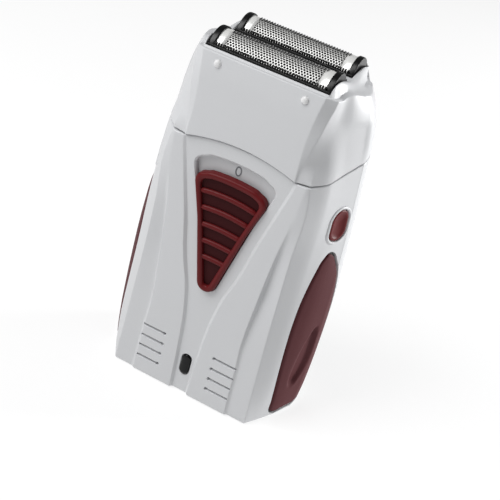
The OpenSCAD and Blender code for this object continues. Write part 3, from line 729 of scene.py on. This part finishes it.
screws = [(s * SCREW_X, z) for s in (-1, 1) for z in SCREWS_Z]
cutters = [rod("y", at, *hole) for hole in (SCREW_HEAD, SCREW_HOLE) for at in screws]
cut(back_skin, cutters + [rod(*INLET)] + [grip_recess(s) for s in (-1, 1)])
cut(front_skin, [rod(*INLET)])
for ob in (front_skin, back_skin):
    dress(ob, SHELL)
    shade(ob, 28)
    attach(ob, "handle")
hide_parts("front_shell")
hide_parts("back_shell")


# ---- Head skin ----

# Against y: the ledge along the head's sides, and the collar that rises from it round the foils.
ledge = table((-18.5, 113.1), (-13, 112.2), (-11.5, 112), (-9.8, 112.6), (-7.3, 112.9), (-2.6, 111.9),
              (0.6, 111.7), (4.5, 111.4), (7.5, 111.3), (12, 110.7), (16.6, 110.4), (18.5, 112))
collar = table((-18, 113.5), (-16.4, 113.9), (-14, 115.4), (-11, 115.8), (-6.5, 115.1), (-2.7, 113.9),
               (-.6, 113.7), (4.3, 114.6), (7.9, 115), (12.7, 114.2), (16.9, 112.9), (18.5, 112.6))
HEAD_TOP, COLLAR_TOP = 113.0, 113.55    # along the front and back, where there is no ledge
SEAM_GAP = .3
HEAD_ROUND = .35
HEAD_WALL = 2.0
HEAD_ROWS = 30
OPENING_X, OPENING_Y = 18.65, 15.95     # half the opening that the foil frames sit in
# how far up the collar a row is at each fraction of the way from the ledge's edge to the opening
COLLAR_PROFILE = [(.22, .02), (.42, .08), (.55, .3), (.66, .68), (.76, .92), (.86, 1.0), (.95, .97), (1.0, .85)]


def head_skin():
    """The head as one closed shell: up the outside, over the collar, and down the inside."""
    low = [seam_z(x, y) + SEAM_GAP for x, y in mirrored(head_half(90))[:-1]]
    top = mirrored(head_half(113))[:-1]
    sides = [ease((abs(x) - 17.5) / 3.2) * ease((17.3 - abs(y)) / 2.2) if abs(y) < 17 else .0 for x, y in top]
    high = [HEAD_TOP + (ledge(y) - HEAD_TOP) * w for w, (x, y) in zip(sides, top)]
    peak = [COLLAR_TOP + (collar(y) - COLLAR_TOP) * w for w, (x, y) in zip(sides, top)]
    cols = range(len(top))
    cache = {}

    def at(i, z, inset):
        key = round(z, 3)
        if key not in cache:
            s = mirrored(head_half(z))[:-1]
            cache[key] = (s, inward(s, True))
        s, n = cache[key]
        return (s[i][0] + n[i][0] * inset, s[i][1] + n[i][1] * inset, z)

    rows = []
    for a in (0, 30, 60, 90):
        q = math.radians(a)
        rows.append([at(i, low[i] + HEAD_ROUND * (1 - math.cos(q)), HEAD_ROUND * (1 - math.sin(q)))
                     for i in cols])
    for k in range(1, HEAD_ROWS + 1):
        rows.append([at(i, low[i] + HEAD_ROUND + (high[i] - 2 * HEAD_ROUND - low[i]) * k / HEAD_ROWS, 0)
                     for i in cols])
    for a in (30, 60, 90):
        q = math.radians(a)
        rows.append([at(i, high[i] - HEAD_ROUND + HEAD_ROUND * math.sin(q), HEAD_ROUND * (1 - math.cos(q)))
                     for i in cols])
    edge = rows[-1]
    rim = [(min(max(x, -OPENING_X), OPENING_X), min(max(y, -OPENING_Y), OPENING_Y)) for x, y in top]
    for f, rise in COLLAR_PROFILE:
        rows.append([(edge[i][0] + (rim[i][0] - edge[i][0]) * f, edge[i][1] + (rim[i][1] - edge[i][1]) * f,
                      high[i] + (peak[i] - high[i]) * rise) for i in cols])
    rows += [[(*rim[i], z) for i in cols] for z in (112, 106)]
    rows += [[at(i, z, HEAD_WALL) for i in cols] for z in (105, 98)]
    rows.append([at(i, low[i], HEAD_WALL) for i in cols])
    n, last = len(top), (len(rows) - 1) * len(top)
    faces = quads(len(rows), n) + [(last + i, last + (i + 1) % n, (i + 1) % n, i) for i in cols]
    return mesh_object("head_skin", [p for r in rows for p in r], faces)


head = head_skin()
dress(head, SHELL)
shade(head, 35)


def rounded_box(name, x, y, z, r):
    """A box with rounded edges. x, y and z are (low, high)."""
    me = bpy.data.meshes.new(name)
    bm = bmesh.new()
    bmesh.ops.create_cube(bm, size=1)
    for v in bm.verts:
        v.co = Vector([(low if c < 0 else high) * MM for c, (low, high) in zip(v.co, (x, y, z))])
    bmesh.ops.bevel(bm, geom=bm.edges[:], offset=r * MM, segments=3, affect="EDGES", profile=.5)
    bm.to_mesh(me)
    bm.free()
    ob = bpy.data.objects.new(name, me)
    bpy.context.scene.collection.objects.link(ob)
    return ob


STUD_X, STUD_Z = 13.1, 110.4
# radius of a stud at each height above the head's face
STUD_PROFILE = [(1.1, -.3), (1.1, .1), (1.0, .32), (.8, .55), (.45, .7), (.15, .74)]

head_parts = [head, rounded_box("bar", (-19.2, 19.2), (-1.65, 1.65), (108.5, COLLAR_TOP), .35)]
dress(head_parts[1], SHELL)
for s in (-1, 1):
    for out, y in ((-1, FACE + front_in(STUD_Z)), (1, HALF_DEPTH - back_in(STUD_Z))):
        stud = loft("stud", [[(s * STUD_X + r * c, y + out * h, STUD_Z + r * sn) for c, sn in turn(28)]
                             for r, h in STUD_PROFILE])
        # painted highlight: the studs are drawn lighter than the grey shell they belong to
        dress(stud, STUD_GLINT)
        head_parts.append(stud)
head = join("head_skin", head_parts)
shade(head, 35)
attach(head, "head")
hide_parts("head_housing")


# ---- Grips, buttons, lens and switch ----

for s, tag in ((-1, "left"), (1, "right")):
    g = grip(s)
    dress(g, RUBBER)
    shade(g, 50)
    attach(g, "handle")
    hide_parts(f"side_grip_{tag}")
    # a black sheet at the bottom of the gap round each grip: painted shade for the gap's dark outline
    gap_shade = side_loft("grip_gap_painted_shade_" + tag, s, [(grow(GRIP, .5), h) for h in (-.98, -.8)])
    dress(gap_shade, BLACK)
    shade(gap_shade, 40, False)
    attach(gap_shade, "handle")
    b = button(s)
    shade(b, 50)
    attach(b, f"{tag}_button")
    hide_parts(f"release_button_{tag}")
    ring = button_ring(s)
    dress(ring, SHELL)
    shade(ring, 50)
    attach(ring, "handle")

lens = front_loft("lens_skin", [(slot_loop(0, LENS_Z, w, w + 4.6, 48), d) for w, d in
                                ((3.0, 1.8), (3.0, .8), (2.8, .62), (2.2, .5), (1.2, .42), (.3, .4))])
dress(lens, GLOSS)
shade(lens, 60)
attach(lens, "handle")
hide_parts("charge_light_lens")

MARK_Z, MARK_HALF_X, MARK_HALF_Z = 82.3, 1.0, 1.5
zero = [[((MARK_HALF_X + g) * c, FACE + d, MARK_Z + (MARK_HALF_Z + g) * s) for c, s in turn(48)]
        for g, d in ((.0, 2.34), (.0, 2.18), (-.16, 2.14), (-.34, 2.18), (-.34, 2.34), (.0, 2.34))]
zero = loft("off_mark", zero, False, False)
dress(zero, MARK)
shade(zero, 40, False)
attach(zero, "handle")

SLIDER_DROP = 4.5       # from the top of the pocket to the top of the switch when it is off
RIB_STEPS = 12

rim = front_loft("rim", [(switch_loop(g, SLIDER_DROP), d) for g, d in (
    (-.15, 1.9), (-.15, .25), (-.22, -.1), (-.42, -.4), (-.75, -.58), (-1.1, -.58), (-1.6, -.5), (-1.95, -.28),
    (-2.15, .05), (-2.22, .75))], True, False)
dress(rim, RED)
# the floor between the ribs takes the darker burgundy, painted shade in the recess
dish = front_loft("floor", [(switch_loop(g, SLIDER_DROP), d) for g, d in ((-2.15, .78), (-2.5, .82))],
                  False, True)
dress(dish, RED_SHADED)
ribs = []
for end_z, half in ((52.0, 4.1), (57.2, 5.35), (62.3, 6.6), (67.5, 7.85), (72.6, 9.1)):
    rings = []
    for k in range(2 * RIB_STEPS + 1):
        u = -1 + k / RIB_STEPS
        x = half * u
        z = end_z + (half * half - x * x) / 88 + .3
        taper = max(math.sqrt(max(1 - u * u * .985, .0)), .55) if abs(u) > .93 else 1.0
        rings.append([(x, FACE + .55 - .75 * taper * c, z + .82 * taper * s) for c, s in turn(12)])
    rib = loft("rib", rings)
    dress(rib, RED)
    ribs.append(rib)
slider = join("slider_skin", [rim, dish] + ribs)
shade(slider, 50)
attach(slider, "slider")
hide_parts("power_slider")


# ---- Foils and their frames ----

AXIS_Z, FOIL_R, FOIL_Y = 110.9, 6.1, 8.8
FOIL_HALF_X = 17.2
FOIL_FOOT = 108.9
PITCH = .86             # between holes
HOLE = .68              # a hole's corner radius against its cell's
MARGIN = 14.3           # where the holes stop and the plain ends of a foil begin
CAP_FOOT = 107.85
# (x, radius) of a frame's end cap, from its hollow inner face over the top to its outer face
CAP_PROFILE = [(17.3, 5.82), (16.6, 6.2), (16.6, 6.42), (16.75, 6.56), (17.0, 6.6), (18.1, 6.6), (18.32, 6.5),
               (18.4, 6.25)]


def over(yc, r, degrees):
    """(y, z) at an angle from the crest of a foil whose middle is at yc."""
    a = math.radians(degrees)
    return yc + r * math.sin(a), AXIS_Z + r * math.cos(a)


def foil_sheet(yc):
    """The perforated middle of a foil: one six-sided frame round each hole."""
    verts, faces, index = [], [], {}

    def vert(u, v):
        key = (round(u, 4), round(v, 4))
        if key not in index:
            index[key] = len(verts)
            a = v / FOIL_R
            verts.append((u, yc + FOIL_R * math.sin(a), AXIS_Z + FOIL_R * math.cos(a)))
        return index[key]

    step_v = PITCH * math.sqrt(3) / 2
    rows = int(math.radians(70) * FOIL_R / step_v)
    n = int(MARGIN / PITCH)
    corner = PITCH / math.sqrt(3)
    for j in range(-rows, rows + 1):
        for i in range(-n, n + (j % 2 == 0)):
            u, v = (i + (.5 if j % 2 else 0)) * PITCH, j * step_v
            outer, inner = [], []
            for k in range(6):
                a = math.radians(30 + 60 * k)
                outer.append(vert(u + corner * math.cos(a), v + corner * math.sin(a)))
                inner.append(vert(u + corner * HOLE * math.cos(a), v + corner * HOLE * math.sin(a)))
            for k in range(6):
                m = (k + 1) % 6
                faces.append((outer[k], outer[m], inner[m], inner[k]))
    return mesh_object("foil", verts, faces)


def open_grid(name, rows):
    """A sheet through rows that all have the same number of points."""
    return mesh_object(name, [p for r in rows for p in r], quads(len(rows), len(rows[0]), closed=False))


def foil(side):
    """A foil: its perforated sheet, plain ends, straight edges and the row of teeth along its crest."""
    yc = side * FOIL_Y
    sheet = foil_sheet(yc)
    ends, strips, teeth = [], [], []
    for e in (-1, 1):
        round_end = [over(yc, FOIL_R - .012, -92 + 184 * k / 60) for k in range(61)]
        ends.append(open_grid("foil", [[(e * x, y, z) for y, z in round_end]
                                       for x in (MARGIN - .35, MARGIN + 1, MARGIN + 2.4, FOIL_HALF_X)]))
    for s in (-1, 1):
        strips.append(open_grid("foil", [[*[(x, *over(yc, FOIL_R - .015, s * a)) for a in (76, 84, 92)],
                                          (x, yc + s * (FOIL_R - .015), FOIL_FOOT)]
                                         for x in (-FOIL_HALF_X, 0, FOIL_HALF_X)]))
    for k in range(int(2 * MARGIN / PITCH) + 1):
        x = -MARGIN + .2 + k * PITCH
        teeth.append(loft("tooth", [[(x + dx, *over(yc, FOIL_R - .2 + r, a))
                                     for dx, r in ((-.13, 0), (.13, 0), (.06, .52), (-.06, .52))]
                                    for a in (-9, -3, 3, 9)]))
    # the plain ends take the whiter steel, a painted sheen on the foil's own steel
    for parts, look in (([sheet], FOIL), (ends, MARGIN_SHEEN_STEEL), (strips, FOIL), (teeth, BLADE)):
        for p in parts:
            dress(p, look)
    ob = join(("front" if side < 0 else "rear") + "_foil_skin", [sheet] + ends + strips + teeth)
    for p in ob.data.polygons:
        p.use_smooth = True
    mod = ob.modifiers.new("thickness", "SOLIDIFY")
    mod.thickness = .07 * MM
    mod.offset = -1
    return ob


def frame_skin(side):
    """A foil's black frame: two arched end caps and two rails with knurled tops."""
    yc = side * FOIL_Y
    parts = []
    for e in (-1, 1):
        rings = []
        for x, r in CAP_PROFILE:
            ring = [over(yc, r, -90 + 180 * k / 40) for k in range(41)] + [(yc + r, CAP_FOOT), (yc - r, CAP_FOOT)]
            rings.append([(e * x, y, z) for y, z in ring])
        parts.append(loft("cap", rings))
    for s in (-1, 1):
        parts.append(rounded_box("rail", (-18.3, 18.3), sorted((yc + s * 6.17, yc + s * 6.9)),
                                 (108.2, 114.1), .2))
        for k in range(46):
            x = -16.65 + k * .74
            parts.append(rounded_box("knurl", (x - .2, x + .2), sorted((yc + s * 5.75, yc + s * 6.55)),
                                     (113.2, 114.9), .12))
    for p in parts:
        dress(p, BLACK)
    ob = join(("front" if side < 0 else "rear") + "_frame_skin", parts)
    shade(ob, 40)
    return ob


for side, tag in ((-1, "front"), (1, "rear")):
    f = foil(side)
    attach(f, f"{tag}_foil")
    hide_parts(f"{tag}_foil_mesh")
    b = frame_skin(side)
    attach(b, f"{tag}_foil")
    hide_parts(f"{tag}_foil_frame")


# ---- Floor, lights and camera ----

floor_me = bpy.data.meshes.new("floor")
floor_me.from_pydata([(-3, -3, 0), (3, -3, 0), (3, 3, 0), (-3, 3, 0)], [], [(0, 1, 2, 3)])
floor = bpy.data.objects.new("floor", floor_me)
bpy.context.scene.collection.objects.link(floor)
floor_mat = finish("floor_look", (150, 150, 150), .8, vary=.01, bump=.05, scale=200, specular=.2)
floor_shader = floor_mat.node_tree.nodes["Principled BSDF"]
floor_shader.inputs["Emission Color"].default_value = (1, 1, 1, 1)
floor_shader.inputs["Emission Strength"].default_value = .72
dress(floor, floor_mat)


def softbox(name, azimuth, elevation, distance, size, energy):
    """A rectangular light aimed at the shaver. Azimuth 0 is the front and positive angles are to its right."""
    a, e = math.radians(azimuth), math.radians(elevation)
    target = Vector((0, 0, .06))
    place = target + Vector((math.sin(a) * math.cos(e), -math.cos(a) * math.cos(e), math.sin(e))) * distance
    data = bpy.data.lights.new(name, "AREA")
    data.shape = "RECTANGLE"
    data.size, data.size_y = size
    data.energy = energy
    ob = bpy.data.objects.new(name, data)
    bpy.context.scene.collection.objects.link(ob)
    ob.location = place
    ob.rotation_euler = (target - place).to_track_quat("-Z", "Y").to_euler()


softbox("key", -48, 46, .72, (.4, .4), 3.6)
softbox("side_back", 131, 10, .8, (.25, .3), 7.2)
softbox("top", -35, 72, .8, (.3, .3), 1.6)

world = bpy.data.worlds.new("studio")
bpy.context.scene.world = world
world.use_nodes = True
sky = world.node_tree.nodes["Background"]
sky.inputs["Color"].default_value = (.97, .98, 1, 1)
sky.inputs["Strength"].default_value = .12

CAMERA_AT = (.0770, -.24035, .20435)
# the camera's right, up and back directions
CAMERA_AXES = ((.87711, .41694, .23839), (-.41307, .40165, .81734), (.24503, -.81538, .52452))
cam_data = bpy.data.cameras.new("camera")
cam_data.lens = 68.08
cam_data.sensor_width = 36
cam = bpy.data.objects.new("camera", cam_data)
bpy.context.scene.collection.objects.link(cam)
cam.matrix_world = Matrix.Translation(CAMERA_AT) @ Matrix(CAMERA_AXES).transposed().to_4x4()
bpy.context.scene.camera = cam
bpy.context.scene.view_settings.view_transform = "Standard"
